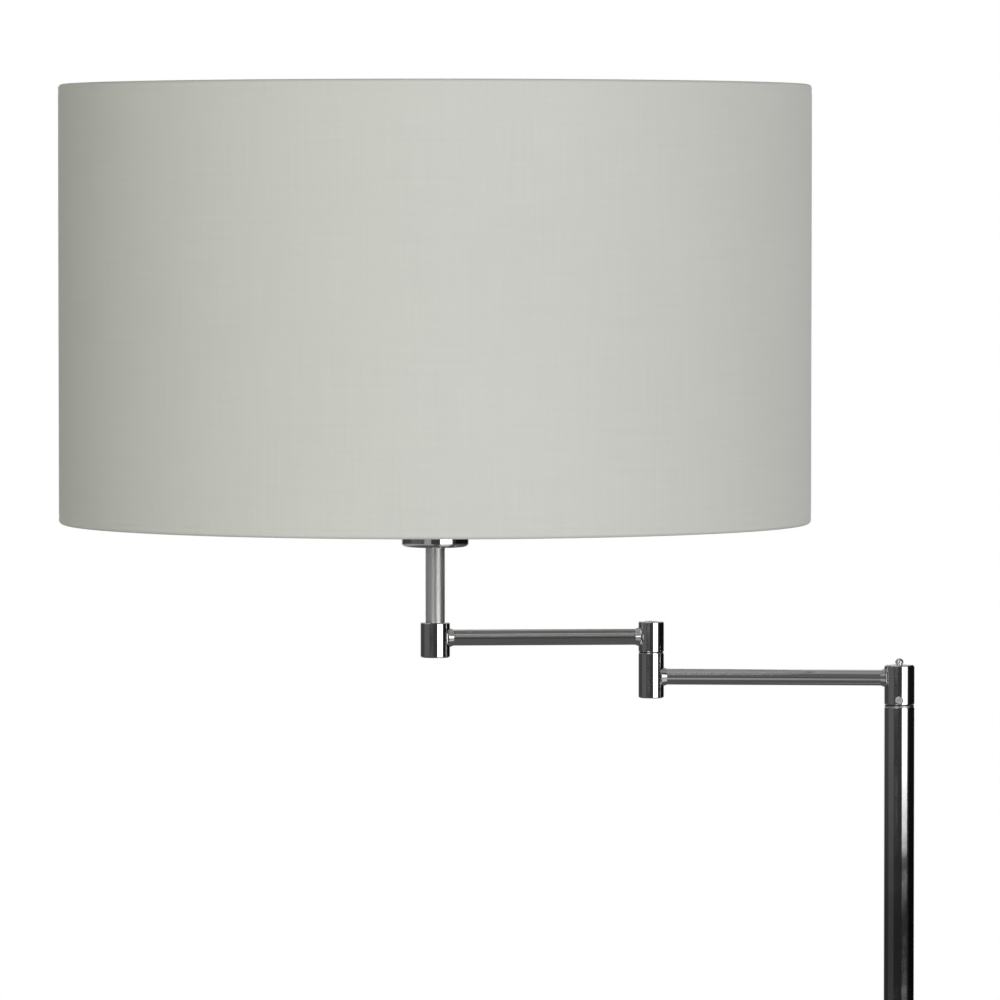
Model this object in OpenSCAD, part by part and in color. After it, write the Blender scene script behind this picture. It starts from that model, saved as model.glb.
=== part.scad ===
// Swing-arm floor lamp: a weighted round base, a three-piece pole, two hollow arms that swivel on upright
// spigots, and a drum shade clamped on a lampholder with a turn switch. Millimetres, +Z up, origin on the
// floor under the pole. The arms reach towards -X. The leads run inside the pole and the arms.

/* [Base] */
// Outer diameter of the base cover
base_d = 260; // [220:5:320]
// Height of the base cover's top above the floor
base_h = 24; // [22:1:34]
// Radius of the cover's rolled top edge
base_edge_r = 3; // [2:0.5:6]
// Sheet thickness of the base cover
cover_wall = 1.2; // [0.8:0.1:2]
// Thickness of the felt pad under the base
pad_t = 2; // [1:0.5:4]
// Thickness of the steel closing plate
plate_t = 1.5; // [1:0.25:3]
// Diameter of the recess in the weight, under the pole
recess_d = 64; // [50:2:90]
// Thickness of the web that the weight keeps above that recess
web_t = 5; // [4:0.5:8]

/* [Cord entry] */
// Inner diameter of the cord grommet
cord_bore_d = 7.4; // [5:0.2:9]
// Outer diameter of the grommet's neck
grommet_neck_d = 11; // [10:0.5:12]
// Outer diameter of the grommet's flange
grommet_flange_d = 14; // [13:0.5:15]
// Length of the grommet's neck, inwards from the base's edge
grommet_len = 8; // [6:0.5:12]

/* [Pole] */
// Outer diameter of the pole
pole_d = 19; // [16:0.5:24]
// Wall of the pole tube
pole_wall = 1.2; // [0.8:0.1:1.8]
// Height of the top end of the pole tube above the floor
pole_top = 1119; // [900:10:1400]
// Number of tubes that the pole is screwed together from
pole_parts = 3; // [3:1:3]
// Length of the coupler inside each joint of the pole
coupler_len = 36; // [24:2:60]
// Outer diameter of the hollow stud that clamps the base
stud_d = 10; // [9:0.5:11]
// Outer diameter of the collar at the foot of the pole
collar_d = 36; // [28:1:44]
// Height of that collar
collar_h = 8; // [5:1:12]

/* [Hub] */
// Outer diameter of the hub on top of the pole
hub_d = 19; // [18:0.5:24]
// Height of the hub
hub_h = 24.7; // [22:0.1:30]
// Diameter of the pole's spigot that the hub turns on
spigot_d = 12; // [11:0.5:13]
// Height of that spigot
spigot_h = 11; // [10:0.5:12]
// Depth of the lower arm's axis under the hub's top
hub_arm_drop = 8; // [7:0.5:9]

/* [Arms] */
// Outer diameter of the arm tubes
arm_d = 10; // [8:0.5:11]
// Wall of the arm tubes
arm_wall = 1; // [0.6:0.1:1.4]
// Distance from the pole's axis to the elbow's axis
lower_reach = 152.3; // [120:0.1:260]
// Distance from the elbow's axis to the stem's axis
upper_reach = 133; // [100:0.5:240]
// How far the lower arm is turned behind the pole at rest, in degrees
lower_turn = 4; // [0:0.5:30]
// Half of the angle that a swivel may turn between its stops, in degrees
swivel_half = 145; // [90:5:145]

/* [Elbow] */
// Outer diameter of the elbow's two barrels
elbow_d = 16; // [15:0.5:20]
// Height of the elbow's lower barrel
elbow_lower_h = 28; // [28:0.5:34]
// Height of the elbow's upper barrel
elbow_upper_h = 18.7; // [18:0.1:24]
// Height of the lower arm's axis above the elbow's foot
elbow_arm_rise = 13; // [11:0.5:13]
// Diameter of the elbow's spigot
elbow_spigot_d = 10; // [9:0.5:10]

/* [Stem] */
// Outer diameter of the barrel at the end of the upper arm
end_d = 18.5; // [16:0.5:24]
// Height of that barrel
end_h = 21.5; // [20:0.5:28]
// Depth of the upper arm's axis under the top of the elbow and of the end barrel
top_arm_drop = 9.5; // [8:0.5:9.5]
// Outer diameter of the stem
stem_d = 12; // [11.5:0.5:14]
// Visible length of the stem
stem_h = 45.5; // [30:0.5:120]
// Outer diameter of the hollow nipple inside the stem
nipple_d = 10; // [9:0.5:10]

/* [Lampholder] */
// Outer diameter of the holder's cap
cap_d = 42; // [41:0.5:48]
// Height of the holder's cap
cap_h = 13.5; // [10:0.5:18]
// Outer diameter of the holder's threaded body
holder_d = 39.6; // [38:0.2:40]
// Height of the holder's mouth above the underside of its cap
holder_h = 67; // [62:0.5:75]
// Height of the switch shaft above the underside of the cap
switch_z = 24; // [20:0.5:26]
// Diameter of the switch knob
knob_d = 13; // [10:0.5:16]
// Length of the switch knob
knob_len = 11; // [8:0.5:16]
// Number of flutes round the knob
knob_flutes = 16; // [10:1:24]
// Diameter of the bulb's globe
bulb_d = 60; // [45:1:80]
// Length of the bulb from its contact to its crown
bulb_len = 108; // [100:1:130]

/* [Shade] */
// Outer diameter of the shade
shade_d = 460; // [300:10:560]
// Height of the shade
shade_h = 268; // [200:2:340]
// Height of the shade's lower edge above the underside of the holder's cap
shade_rise = 15.5; // [10:0.1:30]
// Height of the fitter ring above the underside of the cap
fitter_z = 49.5; // [46:0.5:52]
// Diameter of the shade's wires
wire_d = 3.2; // [2.4:0.1:4]
// Thickness of the fabric
fabric_t = 0.6; // [0.4:0.05:1]
// Thickness of the stiff liner behind the fabric
liner_t = 0.6; // [0.4:0.05:1]
// Number of spokes in the spider
spokes = 3; // [3:1:5]

/* [Hidden] */
$fn = 96;
eps = 1;                    // how far a cutting solid runs past the face it cuts

running_gap = 0.05;         // radial clearance of a swivel
slip_gap = 0.1;             // radial clearance of a sliding assembly fit
chamfer = 0.6;              // turned edges of the barrels
joint_bevel = 0.25;         // turned edges of the pole's tubes
washer_t = 0.3;             // swivel washers
flange_t = 1;               // shoulder of the pole's spigot
shadow_step = 0.4;          // how far a shoulder or washer stands back from its barrel
lead_d = 3.6;               // sleeved lead inside the lamp
lead_bore_d = 7;            // wire way through the stud, the nipple and the pole's spigot
elbow_bore_d = 6;           // wire way through the elbow's spigot
bend_r = 5;                 // centre radius of a lead's turns
tail_d = 1.6;               // one bared core at a lead's end
tail_gap = 0.05;            // between a tail and its terminal

// Swivel stops: a screw's tip runs in a groove that stops short of a full turn.
tip_d = 2.4;                // the screw's tip
groove_w = 2.8;             // the groove it runs in
groove_depth = 1.1;
stop_slack = 0.5;           // degrees of play at each stop
screw_thread_d = 4;
screw_head_d = 5;

// Levels
plate_top = pad_t + plate_t;
weight_top = base_h - cover_wall;
recess_top = weight_top - web_t;
cord_z = plate_top + grommet_neck_d / 2 + 1.5;
pole_foot = base_h;
pole_id = pole_d - 2 * pole_wall;
pole_part_h = (pole_top - pole_foot) / pole_parts;
spigot_foot = pole_top + flange_t;
hub_foot = spigot_foot + washer_t;
hub_top = hub_foot + hub_h;
lower_arm_z = hub_top - hub_arm_drop;
elbow_foot = lower_arm_z - elbow_arm_rise;
elbow_seam = elbow_foot + elbow_lower_h;
elbow_upper_foot = elbow_seam + washer_t;
elbow_top = elbow_upper_foot + elbow_upper_h;
upper_arm_z = elbow_top - top_arm_drop;
end_foot = elbow_top - end_h;
cap_z = elbow_top + stem_h;

// Plan positions: the upper arm turns back so that the stem stands level with the pole.
upper_turn = asin(lower_reach * sin(lower_turn) / upper_reach);
elbow_x = -lower_reach * cos(lower_turn);
elbow_y = lower_reach * sin(lower_turn);
stem_x = elbow_x - upper_reach * cos(upper_turn);

// Base
weight_d = base_d - 2 * cover_wall - 2;
plate_d = base_d - 2 * cover_wall - 1;
pad_d = base_d - 6;
plate_screw_n = 3;
plate_screw_r = base_d * 0.35;
plate_screw_d = 4;
plate_screw_len = 9;
washer_d = 28;
foot_washer_t = 1.5;
foot_nut_h = 5;
foot_nut_af = 14;
stud_foot = recess_top - foot_washer_t - foot_nut_h - 0.8;
insert_h = 20;
channel_w = grommet_neck_d + 1;
block_w = 18;
block_l = 18;
block_h = 12;
block_y = recess_d / 2 + 4;

// Hub and elbow
hub_bore_d = spigot_d + 2 * running_gap;
hub_cap_h = 3;
nub_d = 5.2;
nub_h = 4;
hub_groove_z = hub_foot + 3.2;
elbow_bore = elbow_spigot_d + 2 * running_gap;
elbow_spigot_h = 9;
elbow_groove_z = elbow_seam - 4.4;
elbow_grip_h = 4.2;
plug_h = 3;
braze_r = 1.2;
braze_l = 2;

// Lampholder
holder_wall = 0.9;
holder_id = holder_d - 2 * holder_wall;
cap_wall = 1;
holder_foot = cap_h - 5.5;
bead_h = 1.5;
core_d = holder_id - 2 * slip_gap;
core_foot = 12;
core_floor = 28;
core_mouth = 58;
core_cavity_d = 31.4;
terminal_x = 10;
terminal_d = 5;
terminal_h = 2.5;
nut_h = 3.5;
nut_af = 13;
thread_pitch = 3;
ring_d = 57;
ring_h = 4.5;
fitter_t = 1.5;
fitter_d = 62;
bush_d = 8;
bush_nut_af = 11;
bush_nut_h = 2.6;
shaft_d = 4;
shaft_start = 7;
knob_start = holder_d / 2 + 4.7;
screw_pitch = 3.6;
bulb_thread_r = 12.7;
bulb_thread_amp = 0.5;
bulb_thread_n = 5;
bulb_foot = core_floor + 2.6;
bulb_thread_z = bulb_foot + 3;
bulb_collar_z = bulb_thread_z + bulb_thread_n * screw_pitch;
bulb_neck_z = bulb_collar_z + 5.4;
bulb_neck_r = 14;
glass_t = 0.8;

// Shade
hem_gap = 0.15;
roll_r = wire_d / 2 + hem_gap + fabric_t;
flap_h = 14;
fabric_inner = shade_d / 2 - fabric_t;
liner_inner = fabric_inner - liner_t;
wire_ring_r = shade_d / 2 - roll_r;
spoke_drop = fitter_z + fitter_t / 2 - shade_rise - roll_r;

// ---- shared shapes ----

// Points of an arc in the radius-height plane
function arc(cx, cz, r, a0, a1, n = 8) =
    [for (i = [0:n]) let (a = a0 + (a1 - a0) * i / n) [cx + r * cos(a), cz + r * sin(a)]];

// Points of a cubic curve from p0 to p3 with handles p1 and p2
function curve(p0, p1, p2, p3, n = 10) =
    [for (i = [0:n]) let (t = i / n, u = 1 - t)
        u * u * u * p0 + 3 * u * u * t * p1 + 3 * u * t * t * p2 + t * t * t * p3];

function unit(v) = v / norm(v);

// The same line moved sideways by d, to the left of its direction
function moved(line, d) =
    [for (i = [0:len(line) - 1])
        let (a = line[max(i - 1, 0)], b = line[min(i + 1, len(line) - 1)], t = unit(b - a))
        line[i] + d * [-t[1], t[0]]];

function reversed(list) = [for (i = [len(list) - 1:-1:0]) list[i]];

// A strip of thickness t along a line, as one closed outline
function strip(line, t) = concat(moved(line, t / 2), reversed(moved(line, -t / 2)));

module turned(points) {
    rotate_extrude() polygon(points);
}

// A round tube, standing on z = 0
module tube(outer, inner, h) {
    difference() {
        cylinder(h = h, d = outer);
        translate([0, 0, -eps]) cylinder(h = h + 2 * eps, d = inner);
    }
}

// A solid round bar with both edges chamfered
module bar(d, h, c = chamfer) {
    turned([[0, 0], [d / 2 - c, 0], [d / 2, c], [d / 2, h - c], [d / 2 - c, h], [0, h]]);
}

// A hexagon nut, standing on z = 0
module hex_nut(af, bore, h) {
    difference() {
        cylinder(h = h, d = af / cos(30), $fn = 6);
        translate([0, 0, -eps]) cylinder(h = h + 2 * eps, d = bore);
    }
}

// A round rod from x = x0 to x = x1
module rod_x(d, x0, x1) {
    translate([x0, 0, 0]) rotate([0, 90, 0]) cylinder(h = x1 - x0, d = d);
}

// A quarter turn from going up the Z axis to going out along +X; it ends at x = bend_r, z = 0
module lead_bend_out() {
    translate([bend_r, 0, -bend_r]) rotate([90, 0, 180])
        rotate_extrude(angle = 90) translate([bend_r, 0]) circle(d = lead_d);
}

// The groove round a spigot of radius r, open for the half angle that the screw's tip sweeps each way
module stop_groove(r) {
    tip_half = asin(tip_d / 2 / (r - groove_depth));
    sweep = swivel_half + tip_half + stop_slack;
    rotate([0, 0, -sweep]) rotate_extrude(angle = 2 * sweep)
        translate([r - groove_depth, -groove_w / 2]) square([groove_depth + eps, groove_w]);
}

// A screw along +X whose tip stands in a groove of depth groove_depth, and whose head lies on radius out_r
module stop_screw(spigot_r, out_r) {
    rod_x(tip_d, spigot_r - groove_depth + slip_gap, spigot_r + 0.6);
    rod_x(screw_thread_d, spigot_r + 0.4, out_r);
    translate([out_r - 0.4, 0, 0]) rotate([0, 90, 0])
        turned(concat([[0, 0], [screw_head_d / 2, 0], [screw_head_d / 2, 0.7]],
                      arc(screw_head_d / 2 - 0.9, 0.7, 0.9, 0, 90, 6), [[1.2, 1.6], [1.2, 0.9], [0, 0.9]]));
}

// The screw's hole in a barrel, with a spot face for the head
module stop_screw_hole(out_r) {
    rod_x(screw_thread_d, 0, out_r + eps);
    rod_x(screw_head_d + 2 * slip_gap, out_r - 0.4, out_r + 2 * eps);
}

// An arm tube from a barrel of radius r0 at x = 0 to one of radius r1 at x = reach, with brazed fillets
module arm_tube(r0, r1, bore0, bore1, reach) {
    difference() {
        union() {
            rod_x(arm_d, bore0, reach - bore1);
            difference() {
                union() {
                    translate([r0 - eps, 0, 0]) rotate([0, 90, 0])
                        cylinder(h = braze_l + eps, r1 = arm_d / 2 + braze_r, r2 = arm_d / 2);
                    translate([reach - r1 - braze_l, 0, 0]) rotate([0, 90, 0])
                        cylinder(h = braze_l + eps, r1 = arm_d / 2, r2 = arm_d / 2 + braze_r);
                }
                cylinder(h = 4 * arm_d, r = r0, center = true);
                translate([reach, 0, 0]) cylinder(h = 4 * arm_d, r = r1, center = true);
            }
        }
        rod_x(arm_d - 2 * arm_wall, 0, reach);
    }
}

// Puts a piece drawn along +X on the lower arm
module on_lower_arm() {
    rotate([0, 0, 180 - lower_turn]) children();
}

// Puts a piece drawn along +X on the upper arm
module on_upper_arm() {
    translate([elbow_x, elbow_y, 0]) rotate([0, 0, 180 + upper_turn]) children();
}

// Puts a piece drawn from the underside of the holder's cap on the stem
module on_stem() {
    translate([stem_x, 0, cap_z]) children();
}

// ---- base ----

module base_pad() {
    color("dimgray") cylinder(h = pad_t, d = pad_d);
}

module base_plate() {
    color("silver") difference() {
        translate([0, 0, pad_t]) cylinder(h = plate_t, d = plate_d);
        plate_screw_places() plate_screw_shape(eps);
    }
}

// Countersunk screws hold the plate to the weight; the pad covers their heads
module plate_screw_places() {
    for (i = [0:plate_screw_n - 1]) rotate([0, 0, 30 + i * 360 / plate_screw_n])
        translate([plate_screw_r, 0, pad_t]) children();
}

module plate_screw_shape(below = 0) {
    turned([[0, -below], [plate_screw_d, -below], [plate_screw_d, 0], [plate_screw_d / 2, plate_t * 0.9],
            [plate_screw_d / 2, plate_screw_len], [0, plate_screw_len]]);
}

module plate_screws() {
    color("silver") plate_screw_places() plate_screw_shape();
}

module base_weight() {
    color("darkslategray") difference() {
        translate([0, 0, plate_top]) bar(weight_d, weight_top - plate_top, base_edge_r - cover_wall);
        translate([0, 0, plate_top - eps]) cylinder(h = recess_top - plate_top + eps, d = recess_d);
        translate([0, 0, plate_top]) cylinder(h = base_h, d = stud_d + 2 * slip_gap);
        plate_screw_places() cylinder(h = plate_screw_len + 1, d = plate_screw_d);
        translate([-channel_w / 2, 0, plate_top - eps])
            cube([channel_w, base_d, cord_z - plate_top + channel_w / 2 + eps]);
        translate([-block_w / 2 - 1, 0, plate_top - eps])
            cube([block_w + 2, block_y + block_l + 1, recess_top - plate_top + eps]);
    }
}

module base_cover() {
    r = base_d / 2;
    inner_r = r - cover_wall;
    corner = base_edge_r;
    color("gainsboro") difference() {
        turned(concat(
            [[stud_d / 2 + slip_gap, base_h - cover_wall], [stud_d / 2 + slip_gap, base_h]],
            reversed(arc(r - corner, base_h - corner, corner, 0, 90)),
            [[r, pad_t], [inner_r, pad_t]],
            arc(r - corner, base_h - corner, corner - cover_wall, 0, 90)));
        translate([0, r - 3 * eps, cord_z]) rotate([-90, 0, 0]) cylinder(h = 6 * eps, d = grommet_neck_d);
    }
}

module cord_grommet() {
    color("black") translate([0, base_d / 2 + 1.5, cord_z]) rotate([90, 0, 0]) difference() {
        union() {
            cylinder(h = 1.5, d1 = grommet_flange_d - 1, d2 = grommet_flange_d);
            cylinder(h = grommet_len + 1.5, d = grommet_neck_d);
        }
        translate([0, 0, -eps]) cylinder(h = grommet_len + 2 * eps + 1.5, d = cord_bore_d);
    }
}

module terminal_block() {
    color("white") translate([0, block_y, plate_top]) difference() {
        translate([-block_w / 2, 0, 0]) cube([block_w, block_l, block_h]);
        for (x = [-block_w / 4, block_w / 4]) {
            translate([x, -eps, block_h / 2]) rotate([-90, 0, 0]) cylinder(h = block_l + 2 * eps, d = 3.4);
            for (y = [block_l / 4, 3 * block_l / 4])
                translate([x, y, block_h / 2]) cylinder(h = block_h, d = 4);
        }
    }
}

module terminal_screws() {
    color("goldenrod") translate([0, block_y, plate_top])
        for (x = [-block_w / 4, block_w / 4], y = [block_l / 4, 3 * block_l / 4])
            translate([x, y, block_h / 2 + 1.2]) difference() {
                cylinder(h = block_h / 2 - 2.2, d = 3.8);
                translate([-2.5, -0.4, block_h / 2 - 3]) cube([5, 0.8, 2]);
            }
}

module foot_stud() {
    color("silver") translate([0, 0, stud_foot]) tube(stud_d, lead_bore_d, pole_foot + insert_h - stud_foot);
}

module foot_washer() {
    color("silver") translate([0, 0, recess_top - foot_washer_t])
        tube(washer_d, stud_d + 2 * slip_gap, foot_washer_t);
}

module foot_nut() {
    color("silver") translate([0, 0, recess_top - foot_washer_t - foot_nut_h])
        hex_nut(foot_nut_af, stud_d, foot_nut_h);
}

// ---- pole ----

module foot_insert() {
    color("silver") translate([0, 0, pole_foot]) tube(pole_id, stud_d, insert_h);
}

module foot_collar() {
    bore_r = pole_d / 2 + slip_gap;
    edge = 2.5;
    color("gainsboro") translate([0, 0, pole_foot]) turned(concat(
        [[bore_r, 0], [collar_d / 2, 0]],
        arc(collar_d / 2 - edge, collar_h - edge, edge, 0, 90, 6),
        [[bore_r, collar_h]]));
}

module pole_part(i) {
    r = pole_d / 2;
    color("gainsboro") translate([0, 0, pole_foot + i * pole_part_h]) turned(
        [[pole_id / 2, 0], [r - joint_bevel, 0], [r, joint_bevel], [r, pole_part_h - joint_bevel],
         [r - joint_bevel, pole_part_h], [pole_id / 2, pole_part_h]]);
}

module pole_couplers() {
    color("silver") for (i = [1:pole_parts - 1])
        translate([0, 0, pole_foot + i * pole_part_h - coupler_len / 2])
            tube(pole_id, lead_bore_d + 2, coupler_len);
}

module pole_spigot() {
    color("silver") difference() {
        union() {
            translate([0, 0, pole_top - insert_h]) cylinder(h = insert_h, d = pole_id);
            translate([0, 0, pole_top]) cylinder(h = flange_t, d = pole_d - 2 * shadow_step);
            translate([0, 0, pole_top]) bar(spigot_d, flange_t + spigot_h);
        }
        translate([0, 0, pole_top - insert_h - eps]) cylinder(h = 2 * insert_h, d = lead_bore_d);
        on_lower_arm() translate([0, 0, hub_groove_z]) rotate([0, 0, 90]) stop_groove(spigot_d / 2);
    }
}

module hub_washer() {
    color("black") translate([0, 0, spigot_foot]) tube(hub_d - 2 * shadow_step, hub_bore_d, washer_t);
}

// The lead from the terminal block, up the stud and the pole, to the spigot's mouth
module pole_lead() {
    run_z = stud_foot - bend_r;
    fork_y = block_y - 8;
    tail = [block_y - fork_y, block_w / 4, plate_top + block_h / 2 - run_z];
    color("saddlebrown") {
        translate([0, 0, stud_foot]) cylinder(h = spigot_foot + spigot_h - stud_foot, d = lead_d);
        rotate([0, 0, 90]) translate([bend_r, 0, stud_foot]) rotate([-90, 0, 180])
            rotate_extrude(angle = 90) translate([bend_r, 0]) circle(d = lead_d);
        rotate([0, 0, 90]) translate([0, 0, run_z]) rod_x(lead_d, bend_r, fork_y);
        for (side = [-1, 1]) translate([0, fork_y - 0.5, run_z])
            rotate([0, 0, 90 - side * atan(tail[1] / tail[0])])
                rotate([0, -atan(tail[2] / norm([tail[0], tail[1]])), 0]) rod_x(tail_d, 0, norm(tail));
    }
}

// ---- lower arm ----

module hub() {
    color("gainsboro") on_lower_arm() difference() {
        translate([0, 0, hub_foot]) bar(hub_d, hub_h, 0.8);
        translate([0, 0, hub_foot - eps]) cylinder(h = hub_h + 2 * eps, d = hub_bore_d);
        translate([0, 0, lower_arm_z]) rod_x(arm_d, 0, hub_d);
        translate([0, 0, hub_groove_z]) rotate([0, 0, 90]) stop_screw_hole(hub_d / 2);
    }
}

module hub_cap() {
    color("gainsboro") translate([0, 0, hub_top - hub_cap_h]) turned(concat(
        [[0, 0], [hub_bore_d / 2, 0], [hub_bore_d / 2, hub_cap_h], [nub_d / 2 - 0.6, hub_cap_h],
         [nub_d / 2 - 0.6, hub_cap_h + 0.8]],
        arc(0, hub_cap_h + nub_h - nub_d / 2, nub_d / 2, -10, 90, 9)));
}

module hub_screw() {
    color("silver") on_lower_arm() translate([0, 0, hub_groove_z]) rotate([0, 0, 90])
        stop_screw(spigot_d / 2, hub_d / 2);
}

module lower_arm_tube() {
    color("gainsboro") on_lower_arm() translate([0, 0, lower_arm_z])
        arm_tube(hub_d / 2, elbow_d / 2, hub_bore_d / 2, elbow_bore / 2, lower_reach);
}

module elbow_lower() {
    color("gainsboro") on_lower_arm() translate([lower_reach, 0, 0]) difference() {
        translate([0, 0, elbow_foot]) bar(elbow_d, elbow_lower_h);
        translate([0, 0, elbow_foot - eps]) cylinder(h = elbow_lower_h + 2 * eps, d = elbow_bore);
        translate([0, 0, lower_arm_z]) rod_x(arm_d, -elbow_d, 0);
        translate([0, 0, elbow_groove_z]) rotate([0, 0, -90]) stop_screw_hole(elbow_d / 2);
    }
}

module elbow_plug() {
    color("gainsboro") translate([elbow_x, elbow_y, elbow_foot]) turned(
        [[0, 0.6], [elbow_bore / 2 - 0.8, 0.6], [elbow_bore / 2 - 0.4, 0], [elbow_bore / 2, 0],
         [elbow_bore / 2, plug_h], [0, plug_h]]);
}

module elbow_screw() {
    color("silver") on_lower_arm() translate([lower_reach, 0, elbow_groove_z]) rotate([0, 0, -90])
        stop_screw(elbow_spigot_d / 2, elbow_d / 2);
}

module elbow_washer() {
    color("black") translate([elbow_x, elbow_y, elbow_seam])
        tube(elbow_d - 2 * shadow_step, elbow_bore, washer_t);
}

// The lead from the hub's chamber, along the arm and up into the elbow's spigot
module lower_arm_lead() {
    start_z = spigot_foot + spigot_h;
    rise = lower_arm_z - bend_r - start_z;
    color("saddlebrown") on_lower_arm() {
        translate([0, 0, start_z]) cylinder(h = rise, d = lead_d);
        translate([0, 0, lower_arm_z]) lead_bend_out();
        translate([0, 0, lower_arm_z]) rod_x(lead_d, bend_r, lower_reach - bend_r);
        translate([lower_reach, 0, lower_arm_z]) mirror([0, 0, 1]) mirror([1, 0, 0]) lead_bend_out();
        translate([lower_reach, 0, lower_arm_z + bend_r])
            cylinder(h = elbow_seam - lower_arm_z - bend_r, d = lead_d);
    }
}

// ---- upper arm ----

module elbow_upper() {
    color("gainsboro") on_upper_arm() difference() {
        translate([0, 0, elbow_upper_foot]) bar(elbow_d, elbow_upper_h);
        translate([0, 0, elbow_upper_foot - eps]) cylinder(h = elbow_upper_h + 2 * eps, d = elbow_bore);
        translate([0, 0, upper_arm_z]) rod_x(arm_d, 0, elbow_d);
    }
}

module elbow_cap() {
    color("gainsboro") translate([elbow_x, elbow_y, elbow_top - plug_h]) turned(
        [[0, 0], [elbow_bore / 2, 0], [elbow_bore / 2, plug_h], [elbow_bore / 2 - 0.4, plug_h],
         [elbow_bore / 2 - 0.8, plug_h - 0.4], [0, plug_h - 0.4]]);
}

module elbow_spigot() {
    color("silver") on_upper_arm() difference() {
        union() {
            translate([0, 0, elbow_seam - elbow_spigot_h])
                bar(elbow_spigot_d, elbow_spigot_h + washer_t + elbow_grip_h, 0.5);
            translate([0, 0, elbow_upper_foot]) cylinder(h = elbow_grip_h - 0.5, d = elbow_bore);
        }
        translate([0, 0, elbow_seam - elbow_spigot_h - eps])
            cylinder(h = 2 * elbow_spigot_h, d = elbow_bore_d);
        // The groove is centred on the straight pose, where the lower arm's screw stands at 90 degrees.
        translate([0, 0, elbow_groove_z]) rotate([0, 0, -90]) stop_groove(elbow_spigot_d / 2);
    }
}

module upper_arm_tube() {
    color("gainsboro") on_upper_arm() translate([0, 0, upper_arm_z])
        arm_tube(elbow_d / 2, end_d / 2, elbow_bore / 2, elbow_bore / 2 + 1, upper_reach);
}

module end_barrel() {
    color("gainsboro") on_upper_arm() translate([upper_reach, 0, 0]) difference() {
        translate([0, 0, end_foot]) bar(end_d, end_h);
        translate([0, 0, end_foot - eps]) cylinder(h = upper_arm_z + 4 - end_foot + eps, d = elbow_bore + 1);
        translate([0, 0, upper_arm_z]) cylinder(h = end_h, d = nipple_d);
        translate([0, 0, upper_arm_z]) rod_x(arm_d, -end_d, 0);
    }
}

module end_plug() {
    plug_r = elbow_bore / 2 + 0.5;
    color("gainsboro") translate([stem_x, 0, end_foot]) turned(
        [[0, 0.6], [plug_r - 0.8, 0.6], [plug_r - 0.4, 0], [plug_r, 0], [plug_r, plug_h], [0, plug_h]]);
}

module stem_tube() {
    color("gainsboro") translate([stem_x, 0, elbow_top]) tube(stem_d, nipple_d + 2 * slip_gap, stem_h);
}

module stem_nipple() {
    color("silver") translate([stem_x, 0, upper_arm_z + 4])
        tube(nipple_d, lead_bore_d, cap_z + 6 - upper_arm_z - 4);
}

// The lead from the elbow's spigot, along the upper arm and up the stem to the holder's terminals
module upper_arm_lead() {
    drop = 4;
    end_z = cap_z + core_foot - drop;
    tail = [terminal_x - 2, drop - terminal_h - tail_d / 2 - tail_gap];
    color("saddlebrown") on_upper_arm() {
        translate([0, 0, elbow_seam]) cylinder(h = upper_arm_z - bend_r - elbow_seam, d = lead_d);
        translate([0, 0, upper_arm_z]) lead_bend_out();
        translate([0, 0, upper_arm_z]) rod_x(lead_d, bend_r, upper_reach - bend_r);
        translate([upper_reach, 0, upper_arm_z]) mirror([0, 0, 1]) mirror([1, 0, 0]) lead_bend_out();
        translate([upper_reach, 0, upper_arm_z + bend_r])
            cylinder(h = end_z - upper_arm_z - bend_r, d = lead_d);
    }
    color("saddlebrown") translate([stem_x, 0, end_z]) for (side = [0, 180])
        rotate([0, 90 - atan(tail[1] / tail[0]), side]) cylinder(h = norm(tail), d = tail_d);
}

// ---- lampholder ----

module holder_nut() {
    color("silver") on_stem() translate([0, 0, cap_wall]) hex_nut(nut_af, nipple_d, nut_h);
}

module holder_cap() {
    r = cap_d / 2;
    corner = 2.5;
    rise = 0.8;
    color("gainsboro") on_stem() turned(concat(
        [[nipple_d / 2, 0], [8, 0]],
        arc(r - corner, rise + corner, corner, -90, 0, 6),
        [[r, cap_h], [r - cap_wall, cap_h]],
        arc(r - corner, rise + corner, corner - cap_wall, 0, -90, 6),
        [[8, cap_wall], [nipple_d / 2, cap_wall]]));
}

// The outside of the holder's body carries the thread for the shade rings, as rounded turns
module holder_body() {
    r = holder_d / 2;
    turns = floor((holder_h - 6 - 38) / thread_pitch);
    thread = [for (i = [0:turns * 6]) [r - 0.3 - 0.3 * cos(60 * i), 38 + i * thread_pitch / 6]];
    color("gainsboro") on_stem() difference() {
        turned(concat(
            [[r - holder_wall, holder_foot], [r, holder_foot], [r, cap_h], [cap_d / 2, cap_h],
             [cap_d / 2, cap_h + bead_h], [r, cap_h + bead_h], [r, 37]],
            thread,
            [[r, holder_h - 4], [r, holder_h - 0.4], [r - 0.4, holder_h], [r - holder_wall, holder_h]]));
        translate([0, 0, switch_z]) rotate([0, 0, -90]) rod_x(bush_d, 0, holder_d);
    }
}

module holder_core() {
    color("ivory") on_stem() difference() {
        translate([0, 0, core_foot]) bar(core_d, core_mouth - core_foot, 0.5);
        translate([0, 0, core_floor]) cylinder(h = core_mouth, d = core_cavity_d);
        translate([0, 0, switch_z]) rotate([0, 0, -90]) {
            rod_x(shaft_d + 2 * running_gap, shaft_start - 1, core_d);
            rod_x(bush_d + 1, core_d / 2 - 1.5, core_d);
        }
    }
}

module holder_terminals() {
    color("goldenrod") on_stem() for (x = [-terminal_x, terminal_x])
        translate([x, 0, core_foot - terminal_h]) difference() {
            cylinder(h = terminal_h, d = terminal_d);
            translate([-terminal_d, -0.5, -eps]) cube([2 * terminal_d, 1, eps + 0.8]);
        }
}

// Rounded turns of the bulb's thread, from z0 up, at radius r
function thread_turns(r, z0, n) =
    [for (i = [0:n * 8]) [r + bulb_thread_amp * sin(45 * i), z0 + i * screw_pitch / 8]];

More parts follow.
